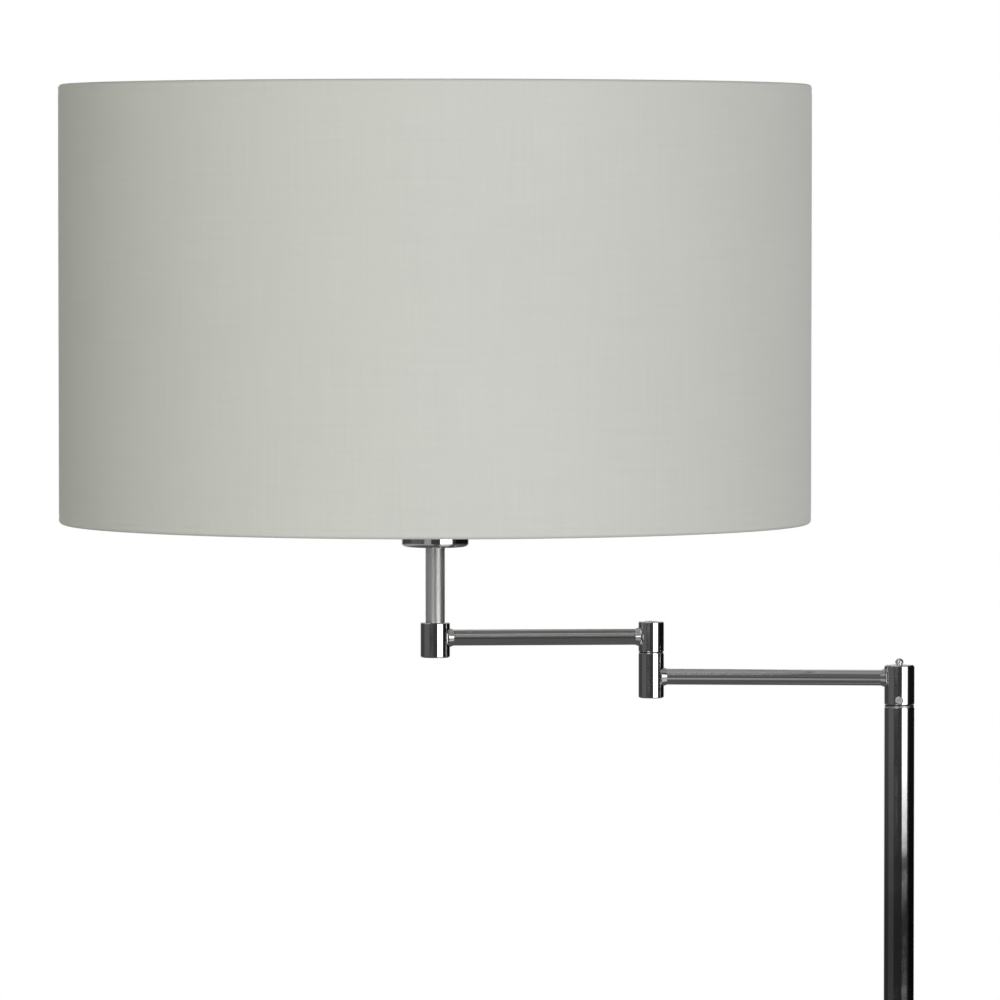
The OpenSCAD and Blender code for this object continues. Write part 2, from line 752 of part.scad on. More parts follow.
module screw_shell() {
    r = bulb_thread_r + 0.7;
    line = concat([[r, core_floor]], thread_turns(r, bulb_thread_z, bulb_thread_n),
                  [[r, bulb_collar_z + 0.6], [core_cavity_d / 2 - 0.3, bulb_collar_z + 1.8]]);
    color("goldenrod") on_stem() turned(strip(line, 0.5));
}

module centre_contact() {
    color("goldenrod") on_stem() {
        translate([0, 0, core_floor]) cylinder(h = bulb_foot - core_floor - 0.5, d = 3);
        translate([0, 0, bulb_foot - 0.5]) cylinder(h = 0.5, d = 7);
    }
}

module switch_bush() {
    color("gainsboro") on_stem() translate([0, 0, switch_z]) rotate([0, 0, -90]) difference() {
        union() {
            rod_x(bush_d, core_d / 2 - 1.5, holder_d / 2 + 0.6);
            translate([holder_d / 2 + 0.4, 0, 0]) rotate([0, 90, 0])
                cylinder(h = bush_nut_h, d = bush_nut_af / cos(30), $fn = 6);
        }
        rod_x(shaft_d + 2 * running_gap, 0, holder_d);
    }
}

module ring(z) {
    lobes = 12;
    color("gainsboro") on_stem() translate([0, 0, z]) difference() {
        bar(ring_d, ring_h);
        translate([0, 0, -eps]) cylinder(h = ring_h + 2 * eps, d = holder_d);
        for (i = [0:lobes - 1]) rotate([0, 0, i * 360 / lobes]) translate([ring_d / 2 + 1.6, 0, -eps])
            cylinder(h = ring_h + 2 * eps, d = 5);
    }
}

// ---- bulb ----

module bulb_cap() {
    line = concat([[8, bulb_thread_z - 1.6], [11.4, bulb_thread_z - 1.2]],
        thread_turns(bulb_thread_r - 0.25, bulb_thread_z, bulb_thread_n),
        [[bulb_thread_r + 0.2, bulb_collar_z + 1.5], [bulb_neck_r - 0.25, bulb_neck_z - 2],
         [bulb_neck_r - 0.25, bulb_neck_z]]);
    color("silver") on_stem() turned(strip(line, 0.4));
}

module bulb_insulator() {
    top = bulb_thread_z - 1.3;
    color("black") on_stem() turned([[4, bulb_foot + 0.6], [7.8, top - 0.6], [7.8, top], [4, top]]);
}

module bulb_contact() {
    top = bulb_thread_z - 1.3;
    color("silver") on_stem()
        turned([[0, bulb_foot], [2.6, bulb_foot], [4, bulb_foot + 0.6], [4, top], [0, top]]);
}

// The glass's outline from its neck up over the globe, moved in by inset
function glass_line(inset) =
    let (r = bulb_d / 2, top = bulb_foot + bulb_len, c = top - r, a = 35,
         from = [r * cos(a), c - r * sin(a)],
         tangent = [-sin(a), -cos(a)],
         neck = reversed(curve(from, from + r * 0.46 * tangent, [bulb_neck_r, bulb_neck_z + r / 2],
                               [bulb_neck_r, bulb_neck_z])))
    concat([for (p = neck) [p[0] - inset, p[1]]], arc(0, c, r - inset, 5 - a, 90, 20));

module bulb_glass() {
    color("white") on_stem() turned(concat(glass_line(0), reversed(glass_line(glass_t))));
}

// ---- shade ----

// Straight spokes of diameter d, from the fitter ring's rim down to the middle of the bottom wire
module spoke_rods(d) {
    start = fitter_d / 2 - 1.8;
    for (i = [0:spokes - 1]) rotate([0, 0, 90 + i * 360 / spokes])
        translate([start, 0, fitter_z + fitter_t / 2])
            rotate([0, atan(spoke_drop / (wire_ring_r - start)), 0])
                rod_x(d, 0, norm([wire_ring_r - start, spoke_drop]));
}

module spider() {
    color("white") on_stem() difference() {
        union() {
            translate([0, 0, fitter_z]) tube(fitter_d, holder_d + 1.2, fitter_t);
            spoke_rods(wire_d);
        }
        wire_circle(shade_rise + roll_r);
    }
}

module wire_circle(z) {
    translate([0, 0, z]) rotate_extrude() translate([wire_ring_r, 0]) circle(d = wire_d);
}

module wire_ring(z) {
    color("white") on_stem() wire_circle(z);
}

module shade_liner() {
    color("white") on_stem() translate([0, 0, shade_rise + 2 * roll_r])
        tube(2 * fabric_inner, 2 * liner_inner, shade_h - 4 * roll_r);
}

// Middle of the cloth from half height down the outside, round the wire and up behind the liner
function hem_line() =
    let (mid = fabric_t / 2, r = roll_r - mid, behind = liner_inner - mid)
    concat([[shade_d / 2 - mid, shade_h / 2]],
           arc(wire_ring_r, roll_r, r, 0, -190, 16),
           [[behind, 2 * roll_r + 4], [behind, flap_h]]);

module shade_fabric() {
    lower = hem_line();
    upper = [for (p = hem_line()) [p[0], shade_h - p[1]]];
    line = concat(reversed(upper), [for (i = [1:len(lower) - 1]) lower[i]]);
    color("linen") on_stem() difference() {
        translate([0, 0, shade_rise]) turned(strip(line, fabric_t));
        spoke_rods(wire_d + 2 * hem_gap);
    }
}

// ---- switch ----

module switch_shaft() {
    color("goldenrod") on_stem() translate([0, 0, switch_z]) rotate([0, 0, -90])
        rod_x(shaft_d, shaft_start, knob_start + knob_len - 3);
}

module switch_knob() {
    color("black") on_stem() translate([0, 0, switch_z]) rotate([0, 0, -90])
        translate([knob_start, 0, 0]) rotate([0, 90, 0]) difference() {
            bar(knob_d, knob_len, 0.8);
            translate([0, 0, -eps]) cylinder(h = knob_len - 3 + eps, d = shaft_d);
            for (i = [0:knob_flutes - 1]) rotate([0, 0, i * 360 / knob_flutes])
                translate([knob_d / 2 + 0.3, 0, 2]) cylinder(h = knob_len, d = 1.4);
        }
}

base_pad();
base_plate();
plate_screws();
base_weight();
base_cover();
cord_grommet();
terminal_block();
terminal_screws();
foot_stud();
foot_washer();
foot_nut();
foot_insert();
foot_collar();
pole_part(0);  // pole_lower
pole_part(1);  // pole_middle
pole_part(2);  // pole_upper
pole_couplers();
pole_spigot();
hub_washer();
pole_lead();
hub();
hub_cap();
hub_screw();
lower_arm_tube();
elbow_lower();
elbow_plug();
elbow_screw();
elbow_washer();
lower_arm_lead();
elbow_upper();
elbow_cap();
elbow_spigot();
upper_arm_tube();
end_barrel();
end_plug();
stem_tube();
stem_nipple();
upper_arm_lead();
holder_nut();
holder_cap();
holder_body();
holder_core();
holder_terminals();
screw_shell();
centre_contact();
switch_bush();
ring(fitter_z - ring_h);  // ring_lower
ring(fitter_z + fitter_t);  // ring_upper
bulb_cap();
bulb_contact();
bulb_insulator();
bulb_glass();
spider();
wire_ring(shade_rise + roll_r);  // shade_bottom_wire
wire_ring(shade_rise + shade_h - roll_r);  // shade_top_wire
shade_liner();
shade_fabric();
switch_shaft();
switch_knob();
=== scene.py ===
# %% [markdown]
# # A swing-arm floor lamp, lit in a small studio
# The lamp's shape is finished before this lesson starts: every tube, screw and wire is a piece of the frame
# that the first cell loads. What is left is what Blender is good at: the cloth of the shade, the chrome, the
# other finishes, and a studio for the chrome to mirror. Each step first says what the real piece is.

# %% Load the frame
import math

import bpy
import numpy as np
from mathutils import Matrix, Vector


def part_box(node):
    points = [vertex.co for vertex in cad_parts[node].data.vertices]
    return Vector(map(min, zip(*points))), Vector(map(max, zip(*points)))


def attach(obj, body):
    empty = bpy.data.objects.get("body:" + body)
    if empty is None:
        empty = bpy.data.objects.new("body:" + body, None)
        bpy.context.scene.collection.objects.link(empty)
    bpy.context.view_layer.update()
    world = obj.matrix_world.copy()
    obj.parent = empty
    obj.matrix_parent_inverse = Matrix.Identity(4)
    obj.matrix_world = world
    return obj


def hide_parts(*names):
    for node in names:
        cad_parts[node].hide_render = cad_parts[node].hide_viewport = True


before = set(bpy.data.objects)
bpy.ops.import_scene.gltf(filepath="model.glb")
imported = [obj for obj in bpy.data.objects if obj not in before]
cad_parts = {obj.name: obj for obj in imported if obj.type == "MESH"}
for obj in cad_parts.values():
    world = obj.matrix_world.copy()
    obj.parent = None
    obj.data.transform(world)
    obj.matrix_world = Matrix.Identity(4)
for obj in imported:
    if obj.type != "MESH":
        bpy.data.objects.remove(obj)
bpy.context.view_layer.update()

# %% [markdown]
# ## The camera
# Lamps of this kind are sold with a picture taken from far away through a long lens, so that the shade's
# rims stay nearly straight. The camera stands 4.6 m in front of the lamp, a little below the shade's upper
# rim, and looks down by two degrees. It frames the shade, both arms and the top of the pole.

# %% Camera
shade_low, shade_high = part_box("shade_fabric")
CAMERA_DISTANCE = 4.59
BELOW_UPPER_RIM = 0.0723
CAMERA_HEIGHT = shade_high.z - BELOW_UPPER_RIM
AIM_HEIGHT = 1.246
FRAME_CENTRE_X = -0.2448
LENS_MM, SENSOR_MM = 270, 36

camera_data = bpy.data.cameras.new("camera")
camera_data.lens = LENS_MM
camera_data.sensor_width = SENSOR_MM
camera_data.clip_end = 100
camera = bpy.data.objects.new("camera", camera_data)
camera.location = (FRAME_CENTRE_X, -CAMERA_DISTANCE, CAMERA_HEIGHT)
look = Vector((FRAME_CENTRE_X, 0, AIM_HEIGHT)) - camera.location
camera.rotation_euler = look.to_track_quat("-Z", "Y").to_euler()
bpy.context.scene.collection.objects.link(camera)
bpy.context.scene.camera = camera
bpy.context.scene.view_settings.view_transform = "Standard"
print("camera looks down by", round(math.degrees(math.atan2(-look.z, look.y)), 2), "degrees")

# %% [markdown]
# ## Four small helpers for node trees
# A finish is a tree of nodes. Making each node by hand takes three lines, so `add` makes one, sets its
# options and feeds its inputs: an input is either a plain value or the output of another node. `maths`
# does the same for one sum, `between` carries a value smoothly from one span onto another, and `spread` is
# a colour ramp given as a list of stops.

# %% Node helpers
def add(tree, kind, inputs=None, **options):
    """One node of this kind; inputs is {name or number: value or output}."""
    node = tree.nodes.new(kind)
    for option, value in options.items():
        setattr(node, option, value)
    for socket, value in (inputs or {}).items():
        if isinstance(value, bpy.types.NodeSocket):
            tree.links.new(value, node.inputs[socket])
        else:
            node.inputs[socket].default_value = value
    return node


def maths(tree, operation, a, b=0.0, c=0.0):
    """The output of one sum of a, b and sometimes c."""
    return add(tree, "ShaderNodeMath", {0: a, 1: b, 2: c}, operation=operation).outputs[0]


def between(tree, value, low, high, to_low=0.0, to_high=1.0):
    """The value carried smoothly from the span low..high onto to_low..to_high."""
    sockets = {"Value": value, "From Min": low, "From Max": high, "To Min": to_low, "To Max": to_high}
    return add(tree, "ShaderNodeMapRange", sockets, interpolation_type="SMOOTHSTEP").outputs[0]


def spread(tree, value, stops):
    """A ramp of greys or colours; stops is a list of (place, grey or colour)."""
    ramp = add(tree, "ShaderNodeValToRGB", {0: value})
    bands = ramp.color_ramp.elements
    while len(bands) < len(stops):
        bands.new(0.5)
    for band, (place, colour) in zip(bands, stops):
        band.position = place
        band.color = (*colour, 1) if hasattr(colour, "__len__") else (colour, colour, colour, 1)
    return ramp.outputs[0]


print("node helpers ready")

# %% [markdown]
# ## The studio that the chrome mirrors
# Polished chrome has almost no colour of its own: it shows the room. The room here is drawn straight into
# the world by direction, which costs nothing and has no edges to bump into. Seen from the lamp, the side of
# the camera is dark, a bright window stands to the right, a dimmer softbox hangs on the left, the ceiling
# is dim, and the white backdrop hangs behind. Camera rays see that white everywhere, and cloth and paint get
# a plain even light, so that their colours don't take on the room's.

# %% Directions in the world
world = bpy.data.worlds.new("studio")
bpy.context.scene.world = world
world.use_nodes = True
sky = world.node_tree
sky.nodes.clear()
direction = add(sky, "ShaderNodeSeparateXYZ", {0: add(sky, "ShaderNodeTexCoord").outputs["Generated"]})
east, north, up = direction.outputs
towards_camera = maths(sky, "MULTIPLY", north, -1.0)
turn = maths(sky, "DIVIDE", maths(sky, "ARCTAN2", east, towards_camera), math.pi / 180)
height = maths(sky, "DIVIDE", maths(sky, "ARCSINE", up), math.pi / 180)
print("turn and height are in degrees, from the camera's side and from the horizon")

# %% [markdown]
# Around the horizon the room is a ring of greys, read off by turn, that darkens towards the floor. The
# ceiling is lighter on the left. On these lie a few patches with soft edges. The tall window stands on the
# right, and its sill lies five degrees below the horizon, so the pole stops mirroring it part of the way
# down. Its glow lies on the floor below it, the softbox hangs on the left, and the far floor is lit on the
# left too.

# %% Walls, ceiling and floor of the studio
TURN_SPAN = 360


def ring(stops):
    """Greys round the horizon, with places in degrees of turn."""
    place = maths(sky, "ADD", maths(sky, "DIVIDE", turn, float(TURN_SPAN)), 0.5)
    return spread(sky, place, [(degrees / TURN_SPAN + 0.5, grey) for degrees, grey in stops])


def blend(low, high, amount):
    """low where amount is 0, high where it is 1."""
    return add(sky, "ShaderNodeMix", {"Factor": amount, 2: low, 3: high}, data_type="FLOAT").outputs[0]


walls = ring([(-180, 1.0), (-158, 0.9), (-140, 0.06), (-95, 0.06), (-84, 0.12), (-48, 0.12), (-38, 0.045),
              (66, 0.045), (78, 0.006), (150, 0.006), (164, 0.9), (180, 1.0)])
walls = maths(sky, "MULTIPLY", walls, between(sky, height, -5.6, -4.0, 0.4, 1.0))
room = blend(0.1, walls, between(sky, height, -16.0, -6.0))
ceiling = between(sky, east, 0.14, -0.14, 0.12, 0.4)
room = blend(room, ceiling, between(sky, height, 30.0, 72.0))
print("walls of twelve greys")

# %% Patches of light in the room
PATCHES = {
    # brightness, then where the left, right, lower and upper edge go from nothing to full, in degrees
    "camera's side": (0.125, (-50, -20), (50, 20), (-3, 2), (60, 30)),
    "far floor": (0.36, (-200, -199), (-2, -7), (-44, -30), (-7, -14)),
    "window": (2.5, (16, 20), (63, 55), (-5.0, -3.9), (26, 18)),
    "window's glow": (0.6, (14, 22), (67, 55), (-62, -45), (-11, -20)),
    "softbox": (1.6, (-42, -32), (-11, -15), (-3.2, -0.4), (66, 56)),
}
for brightness, left, right, lower, upper in PATCHES.values():
    wide = maths(sky, "MULTIPLY", between(sky, turn, *left), between(sky, turn, *right))
    tall = maths(sky, "MULTIPLY", between(sky, height, *lower), between(sky, height, *upper))
    room = blend(room, brightness, maths(sky, "MULTIPLY", wide, tall))
room = blend(room, 1.0, between(sky, north, 0.80, 0.93))
print(", ".join(PATCHES), "and the backdrop")

# %% [markdown]
# Light Path tells which kind of ray asks. Camera rays and rays through glass get the white backdrop, and
# mirror rays the room. Every other ray gets an even light, which is weak from straight above and below, so
# that the inside of the shade stays darker than its outside.

# %% Put the studio together
EVEN_LEVEL, EVEN_STEEP = 0.44, 0.13
even_light = between(sky, maths(sky, "ABSOLUTE", height), 10.0, 50.0, EVEN_LEVEL, EVEN_STEEP)
asked = add(sky, "ShaderNodeLightPath").outputs
seen = maths(sky, "MAXIMUM", asked["Is Camera Ray"], asked["Is Transmission Ray"])
strength = blend(blend(even_light, room, asked["Is Glossy Ray"]), 1.0, seen)
surround = add(sky, "ShaderNodeBackground", {"Color": (1, 1, 1, 1), "Strength": strength})
add(sky, "ShaderNodeOutputWorld", {"Surface": surround.outputs[0]})
print("even light of", EVEN_LEVEL, "from the sides and", EVEN_STEEP, "from above and below")

# %% [markdown]
# ## Soft lamps
# The shade is brightest a little right of its middle and fades to both sides, which is what one broad lamp
# beside the camera gives. Four weaker ones help it: a fill from the left, a rim lamp on each side behind,
# and one straight behind, so that the back isn't lost. They are suns with a wide disc, so shadows are soft,
# and they stand low, so little of their light falls into the shade. The chrome doesn't mirror them: it has
# the window for that.

# %% Lamps
LAMP_DISC_DEG = 35


def soft_lamp(name, turn_deg, height_deg, strength, colour):
    """A broad lamp far away; turn is from the camera's side towards the right."""
    data = bpy.data.lights.new(name, "SUN")
    data.energy = strength
    data.color = colour
    data.angle = math.radians(LAMP_DISC_DEG)
    lamp = bpy.data.objects.new(name, data)
    turn_rad, height_rad = math.radians(turn_deg), math.radians(height_deg)
    from_here = Vector((math.sin(turn_rad) * math.cos(height_rad),
                        -math.cos(turn_rad) * math.cos(height_rad),
                        math.sin(height_rad)))
    lamp.rotation_euler = from_here.to_track_quat("Z", "Y").to_euler()
    lamp.visible_glossy = False
    bpy.context.scene.collection.objects.link(lamp)
    return lamp


soft_lamp("key_lamp", 11, 6, 2.2, (0.97, 0.965, 1.0))
soft_lamp("fill_lamp", -60, 6, 0.17, (0.92, 1.0, 0.55))
soft_lamp("right_rim_lamp", 146, 4, 0.75, (0.92, 0.95, 1.0))
soft_lamp("left_rim_lamp", -143, 4, 0.42, (0.96, 1.0, 0.9))
soft_lamp("back_lamp", 180, 6, 1.0, (1.0, 1.0, 0.98))
print("five lamps")

# %% [markdown]
# ## The floor
# A plain pale disc under the base. Near the lamp it is mostly an ordinary surface that takes the shadow.
# Further out it fades to plain white, so it melts into the backdrop with no horizon. It isn't there for
# mirror rays: the chrome sees the dim floor of the studio instead, because polished tubes over a white floor
# would lose their dark lines. Seen from below it is clear, so the lamp's underside can be looked at.

# %% Floor
FLOOR_RADIUS = 2.4
FADE_FROM, FADE_TO = 0.3, 2.1
PALER = 0.52
rim = np.linspace(0, 2 * math.pi, 96, endpoint=False)
floor_points = np.column_stack([np.cos(rim), np.sin(rim), np.zeros_like(rim)]) * FLOOR_RADIUS
floor_mesh = bpy.data.meshes.new("floor")
floor_mesh.from_pydata(floor_points.tolist(), [], [list(range(len(rim)))])
floor = bpy.data.objects.new("floor", floor_mesh)
bpy.context.scene.collection.objects.link(floor)

pale = bpy.data.materials.new("pale_floor")
pale.use_nodes = True
tree = pale.node_tree
tree.nodes.clear()
place = add(tree, "ShaderNodeTexCoord").outputs["Object"]
out_from_lamp = add(tree, "ShaderNodeVectorMath", {0: place}, operation="LENGTH").outputs["Value"]
asked = add(tree, "ShaderNodeLightPath").outputs
surface = add(tree, "ShaderNodeBsdfDiffuse", {"Color": (0.86, 0.86, 0.85, 1)}).outputs[0]
white = add(tree, "ShaderNodeEmission", {"Color": (1, 1, 1, 1), "Strength": 1.0}).outputs[0]
seen = maths(tree, "MAXIMUM", asked["Is Camera Ray"], asked["Is Transmission Ray"])
fade = maths(tree, "MULTIPLY", between(tree, out_from_lamp, FADE_FROM, FADE_TO, PALER, 1.0), seen)
clear = add(tree, "ShaderNodeBsdfTransparent").outputs[0]
from_below = maths(tree, "MULTIPLY", add(tree, "ShaderNodeNewGeometry").outputs["Backfacing"], seen)


def either(amount, first, second):
    """The first shader where amount is 0, the second where it is 1."""
    return add(tree, "ShaderNodeMixShader", {0: amount, 1: first, 2: second}).outputs[0]


not_there = maths(tree, "MAXIMUM", from_below, asked["Is Glossy Ray"])
add(tree, "ShaderNodeOutputMaterial", {"Surface": either(not_there, either(fade, surface, white), clear)})
floor_mesh.materials.append(pale)
print("floor of radius", FLOOR_RADIUS, "m")

# %% [markdown]
# ## How a finish is made
# Every finish below is one Principled shader. What is the same all over the surface, such as how metallic
# it is, is typed straight into the shader. What varies, such as dust-fine roughness or a grain, comes from
# noise on Object coordinates, so that it stays on the piece when the piece moves. `finish` starts one and
# `grain` is its most used ingredient.

# %% Finish helpers
finishes = {}


def finish(name, **constants):
    """A new Principled finish; constants are the sockets that are the same all over."""
    made = bpy.data.materials.new(name)
    made.use_nodes = True
    shader = made.node_tree.nodes["Principled BSDF"]
    for socket, value in constants.items():
        shader.inputs[socket.replace("_", " ")].default_value = value
    finishes[name] = made
    return made.node_tree, shader


def grain(tree, scale, stretch=(1, 1, 1), detail=3.0, roughness=0.55, source="Object"):
    """Noise from 0 to 1 with this many grains to a metre, drawn out along an axis by stretch."""
    place = add(tree, "ShaderNodeTexCoord").outputs[source]
    place = add(tree, "ShaderNodeMapping", {"Vector": place, "Scale": stretch}).outputs[0]
    sockets = {"Vector": place, "Scale": scale, "Detail": detail, "Roughness": roughness}
    return add(tree, "ShaderNodeTexNoise", sockets).outputs[0]


def colour_from(tree, shader, value, dark, light):
    """Base colour that runs from dark to light with the value."""
    tree.links.new(spread(tree, value, [(0.3, dark), (0.7, light)]), shader.inputs["Base Color"])


def roughness_from(tree, shader, value, low, high):
    """Roughness that runs from low to high with the value."""
    tree.links.new(between(tree, value, 0.3, 0.7, low, high), shader.inputs["Roughness"])


def bumps_from(tree, shader, value, depth, strength=1.0):
    """Relief of this depth, in metres."""
    bump = add(tree, "ShaderNodeBump", {"Height": value, "Distance": depth, "Strength": strength})
    tree.links.new(bump.outputs[0], shader.inputs["Normal"])


print("finish helpers ready")

# %% [markdown]
# ## Chrome
# Chrome plate on tube is a mirror, but not a perfect one: fingers leave patches where it is a little duller,
# the polishing wheel leaves hair-fine lines, and the drawn tube under it is never quite true, so the
# reflected edges waver. Patches go into the roughness, and the waver is a very shallow relief. Three pieces
# are brushed before they are plated. The brush runs round them, which draws their highlights out along the
# axis, so the satin chrome is anisotropic, with its tangent round the Z axis.

# %% Polished chrome
def chrome_plate(name, dull_low, dull_high, shade_of_grey, **constants):
    """Chrome between two roughnesses, with smudges, hair lines and a slight waver."""
    tree, shader = finish(name, Metallic=1.0, **constants)
    smudges = grain(tree, 34, detail=4.0, roughness=0.6)
    darker = tuple(0.955 * part for part in shade_of_grey)
    colour_from(tree, shader, grain(tree, 12), darker, shade_of_grey)
    roughness_from(tree, shader, smudges, dull_low, dull_high)
    hair = maths(tree, "MULTIPLY", grain(tree, 900, stretch=(1, 1, 0.08)), 0.12)
    bumps_from(tree, shader, maths(tree, "ADD", grain(tree, 45, detail=1.0), hair), 0.00002)


chrome_plate("chrome", 0.035, 0.085, (0.78, 0.78, 0.79))
chrome_plate("chrome_satin", 0.4, 0.5, (0.88, 0.87, 0.86), Anisotropic=0.6, Anisotropic_Rotation=0.25)
tree = finishes["chrome_satin"].node_tree
round_axis = add(tree, "ShaderNodeTangent", direction_type="RADIAL", axis="Z").outputs[0]
tree.links.new(round_axis, tree.nodes["Principled BSDF"].inputs["Tangent"])
print("polished chrome and satin chrome")

# %% [markdown]
# ## The other metals
# The fittings inside are turned steel with a thin zinc coat, and the lathe's feed lines run round them.
# Brass parts have darkened in patches. The bulb's cap is thin rolled sheet. The weight in the base is a
# rough casting, and the wires of the shade wear a white powder coat with its faint orange-peel relief.

# %% Turned steel, brass, sheet metal, casting and powder coat
tree, shader = finish("turned_steel", Metallic=1.0)
lathe_lines = grain(tree, 60, stretch=(0.2, 0.2, 40), detail=2.0)
colour_from(tree, shader, grain(tree, 40), (0.54, 0.54, 0.53), (0.64, 0.64, 0.65))
roughness_from(tree, shader, lathe_lines, 0.24, 0.4)
bumps_from(tree, shader, lathe_lines, 0.00003)

tree, shader = finish("brass", Metallic=1.0)
tarnish = grain(tree, 160, detail=5.0)
colour_from(tree, shader, tarnish, (0.55, 0.4, 0.18), (0.78, 0.6, 0.29))
roughness_from(tree, shader, tarnish, 0.42, 0.22)
bumps_from(tree, shader, grain(tree, 2000), 0.00001)

tree, shader = finish("bulb_metal", Metallic=1.0)
colour_from(tree, shader, grain(tree, 90), (0.7, 0.7, 0.7), (0.84, 0.84, 0.84))
roughness_from(tree, shader, grain(tree, 300, stretch=(1, 1, 6)), 0.22, 0.42)
bumps_from(tree, shader, grain(tree, 900), 0.00002)

tree, shader = finish("cast_iron", Metallic=0.0)
colour_from(tree, shader, grain(tree, 55, detail=5.0), (0.13, 0.13, 0.14), (0.19, 0.19, 0.2))
roughness_from(tree, shader, grain(tree, 220), 0.65, 0.85)
bumps_from(tree, shader, grain(tree, 420, detail=6.0), 0.0004)

tree, shader = finish("white_wire", Metallic=0.0)
colour_from(tree, shader, grain(tree, 70), (0.82, 0.82, 0.8), (0.88, 0.88, 0.86))
roughness_from(tree, shader, grain(tree, 500), 0.36, 0.48)
bumps_from(tree, shader, grain(tree, 1100, detail=1.0), 0.00005)
print("five metals")

# %% [markdown]
# ## Felt, rubber, plastics and ceramic
# The pad under the base is pressed felt: dark, fibrous and soft at a glance, so it gets a little sheen. The
# grommet is moulded rubber, the terminal block is nylon that lets some light in, the washers in the swivels
# are black acetal, the knob is a glossier moulding, and the leads wear a braided sleeve. The holder's core
# is glazed ceramic with specks.

# %% Felt and rubber
tree, shader = finish("felt", Sheen_Weight=0.4, Sheen_Roughness=0.5)
fibres = grain(tree, 1400, stretch=(1, 0.35, 1), detail=4.0)
colour_from(tree, shader, fibres, (0.07, 0.07, 0.075), (0.14, 0.14, 0.145))
roughness_from(tree, shader, grain(tree, 200), 0.88, 1.0)
bumps_from(tree, shader, fibres, 0.0003)

tree, shader = finish("grommet_rubber")
colour_from(tree, shader, grain(tree, 240), (0.032, 0.032, 0.032), (0.05, 0.05, 0.05))
roughness_from(tree, shader, grain(tree, 500), 0.5, 0.66)
bumps_from(tree, shader, grain(tree, 1600), 0.00004)
print("felt and rubber")

# %% Nylon, acetal, knob, sleeve and insulator
EVEN_DEPTH = (1.0, 1.0, 1.0)  # red, green and blue light sink in equally far
tree, shader = finish("nylon", Subsurface_Weight=0.12, Subsurface_Scale=0.002, Subsurface_Radius=EVEN_DEPTH)
colour_from(tree, shader, grain(tree, 120), (0.72, 0.72, 0.685), (0.77, 0.77, 0.74))
roughness_from(tree, shader, grain(tree, 400), 0.38, 0.52)
bumps_from(tree, shader, grain(tree, 1200), 0.00003)

tree, shader = finish("acetal")
colour_from(tree, shader, grain(tree, 150), (0.024, 0.024, 0.024), (0.036, 0.036, 0.036))
roughness_from(tree, shader, grain(tree, 600), 0.42, 0.56)
bumps_from(tree, shader, grain(tree, 1800), 0.00002)

tree, shader = finish("knob", Coat_Weight=0.15, Coat_Roughness=0.2)
colour_from(tree, shader, grain(tree, 200), (0.024, 0.024, 0.024), (0.038, 0.038, 0.038))
roughness_from(tree, shader, grain(tree, 700), 0.28, 0.42)
bumps_from(tree, shader, grain(tree, 2500, detail=1.0), 0.00003)

tree, shader = finish("lead_sleeve")
place = add(tree, "ShaderNodeTexCoord").outputs["Object"]
braid = [add(tree, "ShaderNodeTexWave", {"Vector": place, "Scale": 260.0, "Distortion": 0.4, "Detail": 1.0,
                                         "Phase Offset": phase}, bands_direction="DIAGONAL").outputs[1]
         for phase in (0.0, 2.2)]
woven = maths(tree, "MAXIMUM", braid[0], braid[1])
colour_from(tree, shader, woven, (0.46, 0.46, 0.43), (0.58, 0.58, 0.55))
roughness_from(tree, shader, grain(tree, 300), 0.7, 0.88)
bumps_from(tree, shader, woven, 0.00015)

tree, shader = finish("bulb_insulator", Coat_Weight=0.5, Coat_Roughness=0.06)
colour_from(tree, shader, grain(tree, 300), (0.022, 0.022, 0.024), (0.036, 0.036, 0.038))
roughness_from(tree, shader, grain(tree, 500), 0.12, 0.24)
print("nylon, acetal, knob, sleeve and insulator")

# %% Ceramic, opal glass and the shade's liner
tree, shader = finish("ceramic", Coat_Weight=0.6, Coat_Roughness=0.08)
specks = grain(tree, 900, detail=2.0)
colour_from(tree, shader, specks, (0.8, 0.79, 0.745), (0.86, 0.85, 0.81))
roughness_from(tree, shader, grain(tree, 120), 0.2, 0.34)
bumps_from(tree, shader, grain(tree, 260, detail=1.0), 0.00006)

tree, shader = finish("bulb_glass", Subsurface_Weight=0.3, Subsurface_Scale=0.002,
                      Subsurface_Radius=EVEN_DEPTH, Coat_Weight=0.6, Coat_Roughness=0.04)
colour_from(tree, shader, grain(tree, 26), (0.925, 0.925, 0.9), (0.95, 0.95, 0.93))
roughness_from(tree, shader, grain(tree, 60), 0.16, 0.26)
bumps_from(tree, shader, grain(tree, 30, detail=1.0), 0.00003)

tree, shader = finish("shade_liner")
colour_from(tree, shader, grain(tree, 30), (0.86, 0.86, 0.83), (0.89, 0.89, 0.86))
roughness_from(tree, shader, grain(tree, 90), 0.4, 0.52)
bumps_from(tree, shader, grain(tree, 700, detail=1.0), 0.00003)
print("ceramic, glass and liner")

# %% [markdown]
# ## The linen
# The shade's cloth is a fine off-white linen pressed onto a stiff liner. Its threads are half a millimetre
# apart, too fine to see from across a room, but thicker threads, called slubs, run up and round it as faint
# streaks. The cloth's own UV map is in metres, round the shade and across the cut, so that the threads
# follow the cloth over its hems. Two sine waves make the threads, and drawn-out noise the slubs.

# %% Linen finish
THREAD_SPACING = 0.00055
tree, shader = finish("shade_fabric", Sheen_Weight=0.08, Sheen_Roughness=0.6, Specular_IOR_Level=0.2)
cloth_place = add(tree, "ShaderNodeUVMap", uv_map="cut").outputs[0]
across, along, _ = add(tree, "ShaderNodeSeparateXYZ", {0: cloth_place}).outputs


